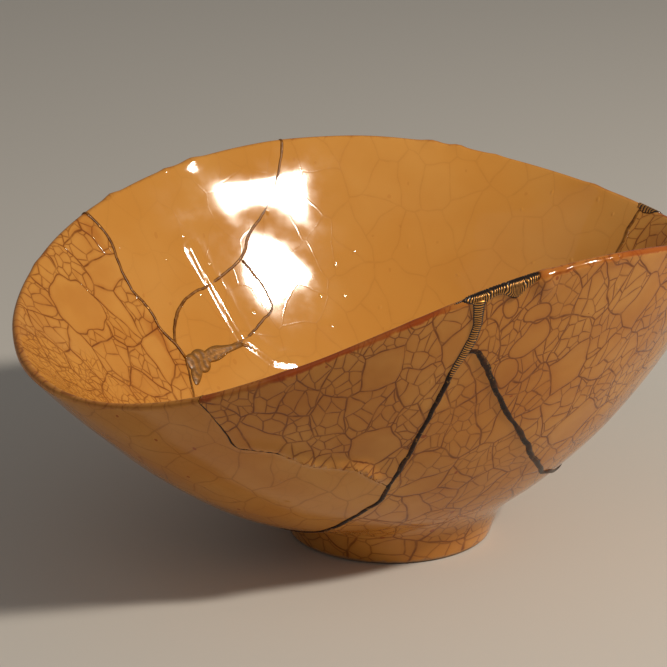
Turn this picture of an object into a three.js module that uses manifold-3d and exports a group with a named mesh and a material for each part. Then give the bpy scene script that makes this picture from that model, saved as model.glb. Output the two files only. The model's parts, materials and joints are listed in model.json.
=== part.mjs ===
import * as THREE from 'three';
import { mergeVertices } from 'three/addons/utils/BufferGeometryUtils.js';
import Module from 'manifold-3d';

// A kintsugi tea bowl: a thrown stoneware bowl, pressed into a long oval while soft, then
// broken into six shards and joined again with lacquer and gold.
// Millimetres, +Z up. The foot ring stands on z = 0 and the long axis lies along X,
// with the higher end at +X and the low end at -X.

// Rim: plan radius and height by bearing, as a mean and a few harmonics.
const RIM_RADIUS = 70.2;
const RIM_RADIUS_COS = [0, 5.5, -0.9, 0];
const RIM_RADIUS_SIN = [2.9, 0, 1.8, 0.6];
const RIM_HEIGHT = 59.9;
const RIM_HEIGHT_COS = [4.8, -10.4, 0, -0.5];
const RIM_HEIGHT_SIN = [-2.8, 0, 1.0, 0];

// Wall: its middle runs from the root, beside the foot, to the rim.
const ROOT_RADIUS = 18.7;
const ROOT_HEIGHT = 7.6;
const LOW_BULGE = 11.0;
const HIGH_BULGE = 3.9;
const WALL_AT_ROOT = 5.5;
const WALL_AT_RIM = 3.0;
const WALL_TAPER = 0.7;
const LIP_START = 0.8;
const LIP_THINNING = 0.42;
const FLOOR_HEIGHT = 9.5;

// Foot ring and the shallow recess inside it: radius and height of each edge.
const FOOT_PROFILE = [
  [24.3, 7.9], [22.7, 4.6], [21.6, 1.6], [20.9, 0.0], [17.1, 0.0],
  [16.2, 0.9], [15.3, 3.4], [13.2, 4.4], [6.5, 4.8], [0, 4.9],
];

// Mesh steps: bearings round the bowl, and stations up the wall (0 root, 1 rim).
const BEARINGS = 56;
const INNER_STATIONS = [0.0, 0.1, 0.2, 0.31, 0.43, 0.56, 0.69, 0.81, 0.92, 1.0];
const OUTER_STATIONS = [1.0, 0.92, 0.81, 0.69, 0.56, 0.43, 0.31, 0.2, 0.13];
const LIP_ANGLES = [-45, 0, 45];

// Joints: each gap is wider than its filling by one clearance on either side.
const CLEARANCE = 0.3;
const SEAM_WIDTH = 1.0;
const TRUNK_WIDTH = 2.0;
const PROUD = 0.35;
const REACH = 3.0;
const RUN_ON = 0.4;
const WALL_LENGTH = 66;

// Crack lines, each point as [bearing in degrees, station up the wall].
const CRACKS = {
  stem: [[-110.2, 0.85], [-109.7, 0.875], [-109.3, 0.91]],
  frontLeft: [
    [-110.2, 0.85], [-112, 0.81], [-114.5, 0.715], [-117.4, 0.6], [-121.4, 0.48], [-124.2, 0.415],
    [-126.5, 0.35], [-133, 0.3], [-141, 0.235], [-150, 0.185], [-160, 0.17],
  ],
  frontRight: [
    [-110.2, 0.85], [-108.4, 0.85], [-105.6, 0.78], [-102.4, 0.68], [-95.8, 0.55], [-83.4, 0.38],
    [-70.3, 0.275], [-50, 0.23], [-29, 0.25], [-11, 0.36], [2, 0.54], [7.6, 0.74], [9, 0.9],
    [9.2, 1.08],
  ],
  leftRim: [
    [-153, 1.08], [-152, 0.92], [-151.5, 0.78], [-145, 0.72], [-139.5, 0.62], [-131, 0.55],
    [-124.2, 0.415],
  ],
  leftBase: [[-160, 0.17], [178, 0.17], [160, 0.22], [143, 0.32], [130.4, 0.415], [124.3, 0.5]],
  backLeft: [
    [124.3, 0.5], [124, 0.555], [125.5, 0.614], [124.6, 0.685], [126.2, 0.757], [124.4, 0.857],
    [122.9, 0.927], [124, 1.08],
  ],
  back: [
    [78.2, 1.08], [79.5, 0.93], [82.2, 0.86], [87.4, 0.787], [91.7, 0.744], [94.8, 0.68],
    [104, 0.65], [114.5, 0.642], [118.5, 0.617], [122, 0.585], [124, 0.555],
  ],
  backLow: [
    [94.8, 0.68], [91.5, 0.6], [90.5, 0.52], [94.6, 0.489], [102.9, 0.456], [113.3, 0.46],
    [119.6, 0.492], [124.3, 0.5],
  ],
};
const TRUNK = [[-109.4, 1.03], [-109.3, 0.97], [-109.2, 0.93], [-109.6, 0.873]];

// Chips: bearings with the station of the lower edge; each runs up past the lip.
const FRONT_CHIP = [
  [-112.6, 1.012], [-110.6, 1.0], [-108.3, 0.985], [-106.5, 1.008], [-105.2, 1.006],
  [-103.4, 0.985], [-102, 0.972], [-101.2, 0.992], [-100, 1.01], [-98.6, 1.022],
];
const BACK_CHIP = [[5.0, 1.012], [6.6, 0.985], [8.6, 0.978], [10.6, 1.01]];
const CHIP_TOP = 1.1;

// Gold patch laid into the inside of the wall where three cracks meet.
const PATCH = [[124.9, 0.5], [122.5, 0.492], [119.6, 0.487], [116.2, 0.468], [113.6, 0.46]];
const PATCH_WIDTHS = [1.6, 4.2, 4.4, 3.0, 1.6];
const PATCH_DEPTH = 1.4;

// A point inside each shard, as [bearing, station].
const SHARDS = {
  main_body_shard: [40, 0.6],
  right_end_shard: [-45, 0.6],
  front_shard: [-135, 0.85],
  left_end_shard: [170, 0.7],
  back_left_shard: [105, 0.85],
  inner_left_shard: [108, 0.55],
};

const GLAZE = { roughness: 0.22, metalness: 0.0 };
const COLOURS = {
  main_body_shard: 0xd9b98a,
  right_end_shard: 0xd0a878,
  front_shard: 0xcfa674,
  left_end_shard: 0xd8ab78,
  back_left_shard: 0xdcc095,
  inner_left_shard: 0xd9b788,
};

const wasm = await Module();
wasm.setup();

const toRadians = THREE.MathUtils.degToRad;

function harmonics(mean, cosines, sines, bearing) {
  let sum = mean;
  for (let k = 1; k <= cosines.length; k += 1) {
    sum += cosines[k - 1] * Math.cos(k * bearing) + sines[k - 1] * Math.sin(k * bearing);
  }
  return sum;
}

// The middle of the wall on one bearing, as a curve of (radius, height).
function meridian(bearing) {
  const root = new THREE.Vector2(ROOT_RADIUS, ROOT_HEIGHT);
  const rim = new THREE.Vector2(
    harmonics(RIM_RADIUS, RIM_RADIUS_COS, RIM_RADIUS_SIN, bearing),
    harmonics(RIM_HEIGHT, RIM_HEIGHT_COS, RIM_HEIGHT_SIN, bearing),
  );
  const chord = rim.clone().sub(root);
  const outward = new THREE.Vector2(chord.y, -chord.x).normalize();
  const low = root.clone().addScaledVector(chord, 1 / 3).addScaledVector(outward, LOW_BULGE);
  const high = root.clone().addScaledVector(chord, 2 / 3).addScaledVector(outward, HIGH_BULGE);
  return new THREE.CubicBezierCurve(root, low, high, rim);
}

// Half the wall's thickness: it tapers all the way up and thins to a fine lip at the top.
function halfWall(station) {
  const share = Math.pow(Math.min(station, 1), WALL_TAPER);
  const lip = THREE.MathUtils.clamp((station - LIP_START) / (1 - LIP_START), 0, 1);
  const wall = WALL_AT_ROOT + (WALL_AT_RIM - WALL_AT_ROOT) * share;
  return 0.5 * wall * (1 - LIP_THINNING * lip * lip);
}

// Point, direction and outward normal of the wall's middle; past the rim it runs straight on.
function middle(bearing, station) {
  const curve = meridian(bearing);
  const along = curve.getTangent(Math.min(station, 1));
  const point = curve.getPoint(Math.min(station, 1));
  point.addScaledVector(along, Math.max(station - 1, 0) * WALL_LENGTH);
  return { point, along, outward: new THREE.Vector2(along.y, -along.x) };
}

function turned(flat, bearing) {
  return new THREE.Vector3(flat.x * Math.cos(bearing), flat.x * Math.sin(bearing), flat.y);
}

// One meridian of the bowl's skin, from the middle of the floor over the lip to the recess.
function skin(bearing, proud) {
  const offset = (station, side) => {
    const at = middle(bearing, station);
    return at.point.addScaledVector(at.outward, side * (halfWall(station) + proud));
  };
  const tip = middle(bearing, 1);
  const round = LIP_ANGLES.map((angle) => {
    const radius = halfWall(1) + proud;
    const point = tip.point.clone();
    point.addScaledVector(tip.outward, radius * Math.sin(toRadians(angle)));
    return point.addScaledVector(tip.along, radius * Math.cos(toRadians(angle)));
  });
  return [
    new THREE.Vector2(0, FLOOR_HEIGHT),
    new THREE.Vector2(9, FLOOR_HEIGHT + 0.15),
    ...INNER_STATIONS.map((station) => offset(station, -1)),
    ...round,
    ...OUTER_STATIONS.map((station) => offset(station, 1)),
    ...FOOT_PROFILE.map(([radius, height]) => new THREE.Vector2(radius, height)),
  ];
}

function solid(geometry) {
  geometry.deleteAttribute('normal');
  geometry.deleteAttribute('uv');
  const merged = mergeVertices(geometry, 1e-4);
  return new wasm.Manifold(new wasm.Mesh({
    numProp: 3,
    vertProperties: new Float32Array(merged.attributes.position.array),
    triVerts: new Uint32Array(merged.index.array),
  }));
}

// The whole bowl: a lathe form whose meridians follow the pressed shape.
function bowlSolid(proud) {
  const lathe = new THREE.LatheGeometry(skin(0, proud).reverse(), BEARINGS);
  const position = lathe.attributes.position;
  const rows = skin(0, proud).length;
  for (let column = 0; column <= BEARINGS; column += 1) {
    const bearing = ((column % BEARINGS) / BEARINGS) * Math.PI * 2;
    const points = skin(bearing, proud).reverse();
    points.forEach((flat, row) => {
      position.setXYZ(column * rows + row, ...turned(flat, bearing).toArray());
    });
  }
  return solid(lathe);
}

// Frame on the wall at one point of a crack line.
function wallFrame([degrees, station]) {
  const bearing = toRadians(degrees);
  const at = middle(bearing, station);
  return {
    point: turned(at.point, bearing),
    outward: turned(at.outward, bearing).normalize(),
    half: halfWall(station),
  };
}

// Sideways direction at point i of a line, lengthened at corners so that the width holds.
function sideways(frames, i) {
  const before = frames[Math.max(i - 1, 0)].point;
  const after = frames[Math.min(i + 1, frames.length - 1)].point;
  const here = frames[i].point;
  const incoming = here.clone().sub(before).normalize();
  const outgoing = after.clone().sub(here).normalize();
  const along = incoming.clone().add(outgoing).normalize();
  const stretch = i === 0 || i === frames.length - 1 ? 1 : 1 / Math.max(along.dot(outgoing), 0.6);
  return along.cross(frames[i].outward).normalize().multiplyScalar(stretch);
}

function runOn(frames) {
  const last = frames.length - 1;
  const start = frames[0].point.clone().sub(frames[1].point).setLength(RUN_ON);
  const end = frames[last].point.clone().sub(frames[last - 1].point).setLength(RUN_ON);
  frames[0].point.add(start);
  frames[last].point.add(end);
}

// A strip standing across the wall along a crack line, from depth `inner` to depth `outer`.
function strip(line, widths, inner, outer) {
  const frames = line.map(wallFrame);
  runOn(frames);
  const box = new THREE.BoxGeometry(1, 1, 1, line.length - 1, 1, 1);
  const position = box.attributes.position;
  for (let v = 0; v < position.count; v += 1) {
    const i = Math.round((position.getX(v) + 0.5) * (line.length - 1));
    const frame = frames[i];
    const depth = position.getY(v) > 0 ? outer(frame.half) : inner(frame.half);
    const aside = Math.sign(position.getZ(v)) * 0.5 * widths[i];
    const point = frame.point.clone().addScaledVector(sideways(frames, i), aside);
    position.setXYZ(v, ...point.addScaledVector(frame.outward, depth).toArray());
  }
  return solid(box);
}

function throughStrip(line, width) {
  const widths = line.map(() => width);
  return strip(line, widths, (half) => -half - REACH, (half) => half + REACH);
}

// A block over a chip in the lip, from its lower edge to above the rim.
function chipBlock(chip, clearance) {
  const drop = clearance / WALL_LENGTH;
  const ends = clearance / RIM_RADIUS;
  const last = chip.length - 1;
  const box = new THREE.BoxGeometry(1, 1, 1, last, 1, 1);
  const position = box.attributes.position;
  for (let v = 0; v < position.count; v += 1) {
    const i = Math.round((position.getX(v) + 0.5) * last);
    const nudge = i === 0 ? -ends : i === last ? ends : 0;
    const bearing = toRadians(chip[i][0]) + nudge;
    const outward = position.getY(v) > 0 ? 1 : -1;
    const station = position.getZ(v) > 0 ? chip[i][1] - drop : CHIP_TOP;
    const at = middle(bearing, station);
    at.point.addScaledVector(at.outward, outward * (halfWall(1) + REACH));
    position.setXYZ(v, ...turned(at.point, bearing).toArray());
  }
  return solid(box);
}

function patchSolid(clearance) {
  const widths = PATCH_WIDTHS.map((width) => width + 2 * clearance);
  const floor = (half) => -half + PATCH_DEPTH + clearance;
  return strip(PATCH, widths, (half) => -half - REACH, floor);
}

function union(solids) {
  return solids.reduce((sum, next) => sum.add(next));
}

function seamStrips(extra) {
  return Object.values(CRACKS).map((line) => throughStrip(line, SEAM_WIDTH + 2 * extra));
}

function frontFillForm(extra) {
  return union([throughStrip(TRUNK, TRUNK_WIDTH + 2 * extra), chipBlock(FRONT_CHIP, extra)]);
}

// The piece of a broken form that holds the given point of the wall.
function pieceAt(pieces, at) {
  const frame = wallFrame(at);
  const probe = new THREE.SphereGeometry(0.8, 8, 6);
  probe.translate(...frame.point.toArray());
  const marker = solid(probe);
  return pieces.find((piece) => piece.intersect(marker).volume() > 0.1);
}

function largest(form) {
  return form.decompose().sort((a, b) => b.volume() - a.volume())[0];
}

function mesh(name, form, material) {
  const data = form.getMesh();
  const geometry = new THREE.BufferGeometry();
  geometry.setAttribute('position', new THREE.BufferAttribute(data.vertProperties, 3));
  geometry.setIndex(new THREE.BufferAttribute(data.triVerts, 1));
  geometry.computeVertexNormals();
  const result = new THREE.Mesh(geometry, material);
  result.name = name;
  return result;
}

const bowl = bowlSolid(0);
const proudBowl = bowlSolid(PROUD);

const frontFill = frontFillForm(0).intersect(proudBowl);
const backFill = chipBlock(BACK_CHIP, 0).intersect(proudBowl);
const patch = patchSolid(0).intersect(proudBowl);
const goldRoom = union([
  frontFillForm(CLEARANCE), chipBlock(BACK_CHIP, CLEARANCE), patchSolid(CLEARANCE),
]);
const seams = union(seamStrips(0)).intersect(proudBowl).subtract(goldRoom);
const shards = bowl.subtract(union(seamStrips(CLEARANCE))).subtract(goldRoom).decompose();

const gold = new THREE.MeshStandardMaterial({ color: 0xb98a3a, roughness: 0.38, metalness: 1.0 });
const lacquer = new THREE.MeshStandardMaterial({ color: 0x3a2414, roughness: 0.3, metalness: 0 });

const kintsugiBowl = new THREE.Group();
const bowlParts = new THREE.Group();
kintsugiBowl.add(bowlParts);
for (const [name, at] of Object.entries(SHARDS)) {
  const glaze = new THREE.MeshStandardMaterial({ color: COLOURS[name], ...GLAZE });
  bowlParts.add(mesh(name, pieceAt(shards, at), glaze));
}
bowlParts.add(mesh('lacquer_seams', largest(seams), lacquer));
bowlParts.add(mesh('gold_front_rim_fill', largest(frontFill), gold));
bowlParts.add(mesh('gold_back_rim_fill', largest(backFill), gold));
bowlParts.add(mesh('gold_inner_patch', largest(patch), gold));

// The origin is under the middle of the whole bowl, at the level the foot stands on.
const overall = new THREE.Box3().setFromObject(bowlParts);
const centre = overall.getCenter(new THREE.Vector3());
bowlParts.position.set(-centre.x, -centre.y, -overall.min.z);

export default kintsugiBowl;
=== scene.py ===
"""A kintsugi tea bowl: thrown round, pressed oval, broken, and joined again with lacquer and gold."""
import json
import math

import bpy
import numpy as np
from mathutils import Matrix, Vector

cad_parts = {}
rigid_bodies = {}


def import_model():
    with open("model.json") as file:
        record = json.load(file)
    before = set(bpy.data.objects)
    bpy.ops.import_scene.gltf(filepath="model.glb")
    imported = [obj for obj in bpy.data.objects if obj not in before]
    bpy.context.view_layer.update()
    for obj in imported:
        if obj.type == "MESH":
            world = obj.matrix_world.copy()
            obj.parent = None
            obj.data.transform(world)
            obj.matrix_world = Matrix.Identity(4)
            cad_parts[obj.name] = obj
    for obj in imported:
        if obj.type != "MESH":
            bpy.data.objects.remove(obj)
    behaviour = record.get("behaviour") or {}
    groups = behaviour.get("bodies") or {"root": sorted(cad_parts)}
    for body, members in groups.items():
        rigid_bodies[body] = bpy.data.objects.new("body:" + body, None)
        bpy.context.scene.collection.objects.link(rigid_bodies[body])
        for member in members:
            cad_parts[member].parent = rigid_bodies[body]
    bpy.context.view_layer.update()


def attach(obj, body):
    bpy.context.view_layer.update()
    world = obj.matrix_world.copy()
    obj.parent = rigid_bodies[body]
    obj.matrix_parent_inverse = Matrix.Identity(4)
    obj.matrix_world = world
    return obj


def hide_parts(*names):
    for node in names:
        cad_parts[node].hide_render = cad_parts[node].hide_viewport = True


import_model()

MM = 0.001

# ---- shape of the bowl, in millimetres ----
RIM_RADIUS = (70.2, (0.0, 5.5, -0.9, 0.0), (2.9, 0.0, 1.8, 0.6))
RIM_HEIGHT = (59.9, (4.8, -10.4, 0.0, -0.5), (-2.8, 0.0, 1.0, 0.0))
ROOT_RADIUS, ROOT_HEIGHT = 18.7, 7.6
LOW_BULGE, HIGH_BULGE = 11.0, 3.9
WALL_AT_ROOT, WALL_AT_RIM, WALL_TAPER = 5.5, 3.0, 0.7
LIP_START, LIP_THINNING = 0.8, 0.42
WALL_LENGTH = 66.0
FILLET_STATION = 0.15
FOOT_REACH = 13.4
MAP_SCALE = 0.01
FLOOR_HEIGHT = 9.2
FOOT = [(22.9, 5.0), (22.3, 3.2), (21.75, 1.7), (21.5, 0.75), (21.2, 0.22), (20.6, 0.0),
        (19.6, 0.0), (18.6, 0.0), (17.5, 0.0), (17.0, 0.2), (16.6, 0.7), (16.1, 1.7),
        (15.6, 2.8), (15.0, 3.7), (14.0, 4.25), (12.5, 4.5), (10.5, 4.65), (8.4, 4.75),
        (6.3, 4.82), (4.2, 4.86), (2.1, 4.88)]
RECESS_TOP = FOOT[-1][1] + 0.01
MIDDLE_OFFSET = Vector((0.422, -1.007, 0.0))

BEARINGS = 360
WALL_ROWS = 76
LIP_ROWS = 9
FLOOR_ROWS = 14

# ---- crack lines: bearing in degrees, and how far up the wall from root (0) to rim (1) ----
CRACKS = {
    "front_left": [(-110.2, 0.85), (-112, 0.81), (-114.5, 0.715), (-117.4, 0.6), (-121.4, 0.48),
                   (-124.2, 0.415), (-126.5, 0.35), (-133, 0.3), (-141, 0.235), (-150, 0.185),
                   (-160, 0.17)],
    "front_right": [(-110.2, 0.85), (-108.4, 0.85), (-105.6, 0.78), (-102.4, 0.68),
                    (-95.8, 0.55), (-83.4, 0.38), (-70.3, 0.275), (-50, 0.23), (-29, 0.25),
                    (-11, 0.36), (2, 0.54), (7.6, 0.74), (9, 0.9), (9.2, 1.0)],
    "left_rim": [(-153, 1.0), (-152, 0.92), (-151.5, 0.78), (-145, 0.72), (-139.5, 0.62),
                 (-131, 0.55), (-124.2, 0.415)],
    "left_base": [(-160, 0.17), (-182, 0.17), (-200, 0.22), (-217, 0.32), (-229.6, 0.415),
                  (-235.7, 0.5)],
    "back_left": [(124.3, 0.5), (124, 0.555), (125.5, 0.614), (124.6, 0.685), (126.2, 0.757),
                  (124.4, 0.857), (122.9, 0.927), (124, 1.0)],
    "back": [(78.2, 1.0), (79.5, 0.93), (82.2, 0.86), (87.4, 0.787), (91.7, 0.744),
             (94.8, 0.68), (104, 0.65), (114.5, 0.642), (118.5, 0.617), (122, 0.585),
             (124, 0.555)],
    "back_low": [(94.8, 0.68), (91.5, 0.6), (90.5, 0.52), (94.6, 0.489), (102.9, 0.456),
                 (113.3, 0.46), (119.6, 0.492), (124.3, 0.5)],
    "stem": [(-110.2, 0.85), (-109.6, 0.873), (-109.2, 0.93), (-109.3, 0.97), (-109.5, 1.0)],
}
# Line width in millimetres at the start and the end of each seam.
SEAM_WIDTH = {
    "front_left": (1.15, 0.85), "front_right": (1.25, 0.8), "left_rim": (0.35, 0.35),
    "left_base": (0.7, 0.7), "back_left": (0.95, 0.95), "back": (0.85, 0.9),
    "back_low": (0.9, 0.8),
}
RIM_SEAMS = ("front_right", "left_rim", "back_left", "back")
# A fine crack in the glaze of the inside alone, filled with the same brown gold.
INNER_HAIRLINE = [(105, 0.448), (100.5, 0.408), (97, 0.37), (93, 0.343), (89, 0.322), (83, 0.3)]
INNER_HAIRLINE_WIDTH = (0.8, 0.35)

SHARDS = {
    "main_body_shard": (40, 0.6),
    "right_end_shard": (-45, 0.6),
    "front_shard": (-135, 0.85),
    "left_end_shard": (170, 0.7),
    "back_left_shard": (105, 0.85),
    "inner_left_shard": (108, 0.55),
}

rng = np.random.default_rng(7)


# ---------------------------------------------------------------- form of the wall
def harmonics(mean, cosines, sines, bearing):
    total = np.full(np.shape(bearing), mean, float)
    for k, (c, s) in enumerate(zip(cosines, sines), 1):
        total = total + c * np.cos(k * bearing) + s * np.sin(k * bearing)
    return total


def middle(bearing, station):
    """Radius, height and direction of the middle of the wall; straight on past the rim."""
    bearing, station = np.broadcast_arrays(np.asarray(bearing, float), np.asarray(station, float))
    t = np.minimum(station, 1.0)
    rim_r, rim_z = harmonics(*RIM_RADIUS, bearing), harmonics(*RIM_HEIGHT, bearing)
    dr, dz = rim_r - ROOT_RADIUS, rim_z - ROOT_HEIGHT
    length = np.hypot(dr, dz)
    out_r, out_z = dz / length, -dr / length
    pr = (ROOT_RADIUS, ROOT_RADIUS + dr / 3 + out_r * LOW_BULGE,
          ROOT_RADIUS + 2 * dr / 3 + out_r * HIGH_BULGE, rim_r)
    pz = (ROOT_HEIGHT, ROOT_HEIGHT + dz / 3 + out_z * LOW_BULGE,
          ROOT_HEIGHT + 2 * dz / 3 + out_z * HIGH_BULGE, rim_z)
    w = ((1 - t) ** 3, 3 * (1 - t) ** 2 * t, 3 * (1 - t) * t * t, t ** 3)
    v = (-3 * (1 - t) ** 2, 3 * (1 - t) ** 2 - 6 * t * (1 - t), 6 * t * (1 - t) - 3 * t * t, 3 * t * t)
    radius, height = sum(a * b for a, b in zip(w, pr)), sum(a * b for a, b in zip(w, pz))
    tr, tz = sum(a * b for a, b in zip(v, pr)), sum(a * b for a, b in zip(v, pz))
    size = np.hypot(tr, tz)
    tr, tz = tr / size, tz / size
    beyond = np.maximum(station - 1.0, 0) * WALL_LENGTH
    return radius + tr * beyond, height + tz * beyond, tr, tz


def half_wall(station):
    share = np.minimum(np.maximum(station, 0), 1.0) ** WALL_TAPER
    lip = np.clip((station - LIP_START) / (1 - LIP_START), 0, 1)
    return 0.5 * (WALL_AT_ROOT + (WALL_AT_RIM - WALL_AT_ROOT) * share) * (1 - LIP_THINNING * lip ** 2)


def on_wall(bearing, station, depth):
    """Point in millimetres at a signed depth from the middle of the wall, outwards."""
    r, z, tr, tz = middle(bearing, station)
    r, z = r + tz * depth, z - tr * depth
    return np.stack([r * np.cos(bearing), r * np.sin(bearing), z], -1)


def outward(bearing, station):
    _, _, tr, tz = middle(bearing, station)
    return np.stack([tz * np.cos(bearing), tz * np.sin(bearing), -tr], -1)


def bezier(p0, p1, p2, p3, count):
    t = np.linspace(0, 1, count + 2)[1:-1, None]
    return (1 - t) ** 3 * p0 + 3 * (1 - t) ** 2 * t * p1 + 3 * (1 - t) * t * t * p2 + t ** 3 * p3


def meridian(bearing):
    """One section of the bowl: rows of (radius, height, side, station), floor to recess."""
    stations = np.linspace(0, 1, WALL_ROWS) ** 0.9
    r, z, tr, tz = middle(bearing, stations)
    half = half_wall(stations)
    inner = np.stack([r - tz * half, z + tr * half, 0 * r, stations], 1)
    rows = []
    slope = tz[0] / tr[0]
    for t in np.linspace(0, 1, FLOOR_ROWS, endpoint=False):
        h01, h11 = t * t * (3 - 2 * t), t * t * (t - 1)
        height = FLOOR_HEIGHT * (1 - h01) + inner[0, 1] * h01 + slope * inner[0, 0] * h11
        rows.append((inner[0, 0] * t, height, 0.0, -0.01 - 0.2 * (1 - t)))
    rows += [tuple(row) for row in inner]
    for a in np.linspace(-90, 90, LIP_ROWS + 2)[1:-1]:
        s, c = math.sin(math.radians(a)), math.cos(math.radians(a))
        rows.append((r[-1] + half[-1] * (tz[-1] * s + tr[-1] * c),
                     z[-1] + half[-1] * (-tr[-1] * s + tz[-1] * c),
                     0.5 + a / 180, 1.0 + half[-1] * c / WALL_LENGTH))
    low = FILLET_STATION
    out_stations = 1 - (1 - low) * np.linspace(0, 1, WALL_ROWS - 6)
    r, z, tr, tz = middle(bearing, out_stations)
    half = half_wall(out_stations)
    outer = np.stack([r + tz * half, z - tr * half, 0 * r + 1, out_stations], 1)
    rows += [tuple(row) for row in outer]
    p0, p3 = outer[-1, :2], np.array(FOOT[0])
    fillet = bezier(p0, p0 - 4.2 * np.array([tr[-1], tz[-1]]), p3 + np.array([0.9, 3.0]), p3, 7)
    for k, (fr, fz) in enumerate(fillet):
        rows.append((fr, fz, 1.0, low - 0.02 * (k + 1)))
    for k, (fr, fz) in enumerate(FOOT):
        rows.append((fr, fz, 1.0, -0.05 - 0.02 * k))
    return np.array(rows)


# ---------------------------------------------------------------- small relief on the glaze
def bump(points, centre, radius, height):
    d2 = ((points - centre) ** 2).sum(-1)
    return height * np.exp(-d2 / (2 * radius * radius))


def beside_line(points, line, bearing):
    """Distance to a line on the wall, the side it lies on (1 or -1), and the share of its run."""
    outwards = np.stack([np.cos(bearing), np.sin(bearing), np.zeros(len(bearing))], 1)
    run = np.concatenate([[0], np.cumsum(np.linalg.norm(np.diff(line, axis=0), axis=1))])
    best = np.full(len(points), 1e9)
    hand, share = np.ones(len(points)), np.zeros(len(points))
    for k, (a, b) in enumerate(zip(line[:-1], line[1:])):
        ab = b - a
        t = np.clip(((points - a) @ ab) / (ab @ ab), 0, 1)
        away = points - a - t[:, None] * ab
        distance = np.linalg.norm(away, axis=1)
        nearer = distance < best
        turn = np.sign((np.cross(np.broadcast_to(ab, away.shape), away) * outwards).sum(1))
        best = np.where(nearer, distance, best)
        hand = np.where(nearer, turn, hand)
        share = np.where(nearer, (run[k] + t * (run[k + 1] - run[k])) / run[-1], share)
    return best, hand, share


GLAZE_RIDGE = [(106.5, 0.77), (106, 0.7), (104.9, 0.631), (104.3, 0.556), (103.5, 0.465),
               (99.7, 0.403), (96.9, 0.36), (89.5, 0.334)]
# Thick glaze that stands up along the left shard's break: how high, along the left_rim crack.
LIP_OF_GLAZE = [(0.0, 0.2), (0.3, 0.4), (0.46, 0.6), (0.58, 1.2), (0.68, 0.9), (0.77, 1.25),
                (0.88, 1.1), (0.95, 0.3), (1.0, 0.0)]
# Drops and lumps of thick glaze: bearing, station, side (-1 in, 0 lip, 1 out), radius, height.
GLAZE_DROPS = [
    (-97.6, 1.0, 1, 1.3, 0.75), (-96.9, 0.97, 1, 1.2, 0.35), (-94.2, 1.005, 1, 0.8, 0.3),
    (-84, 1.0, 1, 0.8, 0.3), (117, 1.02, 0, 1.3, 0.55), (98, 1.02, 0, 1.5, 0.5),
    (104, 1.02, 0, 0.9, 0.3), (49, 1.02, 0, 1.6, 0.5), (44.5, 1.02, 0, 1.2, 0.55),
    (38, 1.02, 0, 1.0, 0.25), (140, 1.02, 0, 1.4, 0.25), (-120, 1.0, 1, 1.0, 0.2),
    (-140, 1.0, 1, 1.2, 0.25), (-60, 1.0, 1, 1.2, 0.25), (20, 1.02, 0, 1.3, 0.3),
]


def line_on_wall(line, side):
    b = np.radians([p[0] for p in line])
    s = np.array([p[1] for p in line])
    return on_wall(b, s, side * half_wall(s))


def glaze_relief(points, side, bearing, station):
    """How far the glaze stands proud of the clay's plain form, in millimetres."""
    x, y, z = points.T
    lift = 0.16 * np.sin(0.11 * x + 1.3) * np.sin(0.13 * y - 0.4) * np.sin(0.12 * z + 0.5)
    lift += 0.07 * np.sin(0.31 * x + 0.21 * y) * np.cos(0.27 * z - 0.15 * y)
    wall = np.clip((station - 0.1) / 0.2, 0, 1)
    lift *= wall
    lift += 0.10 * np.sin(7 * bearing + 0.4) * np.clip((station - 0.9) / 0.1, 0, 1)
    for degrees, at, where, radius, height in GLAZE_DROPS:
        b = math.radians(degrees)
        depth = {-1: -half_wall(at), 0: 0.0, 1: half_wall(at)}[where]
        lift += bump(points, on_wall(b, at, depth), radius, height)
    inside = side < 0.5
    d, _, _ = beside_line(points[inside], line_on_wall(GLAZE_RIDGE, -1), bearing[inside])
    lift[inside] += 0.32 * np.exp(-(d / 0.85) ** 2) - 0.1 * np.exp(-((d - 1.9) / 0.9) ** 2)
    outside = side > 0.5
    d, hand, share = beside_line(points[outside], line_on_wall(CRACKS["left_rim"], 1),
                                 bearing[outside])
    height = np.interp(share, *zip(*LIP_OF_GLAZE))
    left_shard = height * np.where(d < 1.0, 1.0, np.exp(-((d - 1.0) / 1.15) ** 2))
    front_shard = -0.12 * height * np.exp(-(d / 1.2) ** 2)
    step = np.clip(0.5 + 0.5 * hand * d / 0.45, 0, 1)
    lift[outside] += step * left_shard + (1 - step) * front_shard
    return lift


# ---------------------------------------------------------------- operator helpers
def deselect_all():
    if bpy.context.object and bpy.context.object.mode != 'OBJECT':
        bpy.ops.object.mode_set(mode='OBJECT')
    bpy.ops.object.select_all(action='DESELECT')


def take(piece):
    deselect_all()
    piece.select_set(True)
    bpy.context.view_layer.objects.active = piece


def place_points(piece, points):
    """Moves every point of a piece to a place given in millimetres from the foot's centre."""
    shifted = (np.asarray(points) * MM) + np.array(MIDDLE_OFFSET) * MM
    piece.data.vertices.foreach_set("co", shifted.ravel())
    piece.data.update()


def raw_points(piece):
    """The points of a piece in its own units, one row each."""
    flat = np.empty(len(piece.data.vertices) * 3)
    piece.data.vertices.foreach_get("co", flat)
    return flat.reshape(-1, 3)


def points_of(piece):
    """The points of a piece in millimetres from the foot's centre."""
    return raw_points(piece) / MM - np.array(MIDDLE_OFFSET)


def face_outwards(piece, merge_within=0.0):
    """Merges doubles if asked, closes open ends, and turns every face outwards."""
    take(piece)
    bpy.ops.object.mode_set(mode='EDIT')
    bpy.ops.mesh.select_all(action='SELECT')
    if merge_within:
        bpy.ops.mesh.remove_doubles(threshold=merge_within)
        bpy.ops.mesh.fill_holes(sides=0)
        bpy.ops.mesh.select_all(action='SELECT')
    bpy.ops.mesh.normals_make_consistent(inside=False)
    bpy.ops.object.mode_set(mode='OBJECT')


def apply_modifier(piece, kind, **settings):
    take(piece)
    modifier = piece.modifiers.new(kind.title(), kind)
    for name, value in settings.items():
        setattr(modifier, name, value)
    bpy.ops.object.modifier_apply(modifier=modifier.name)


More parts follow.
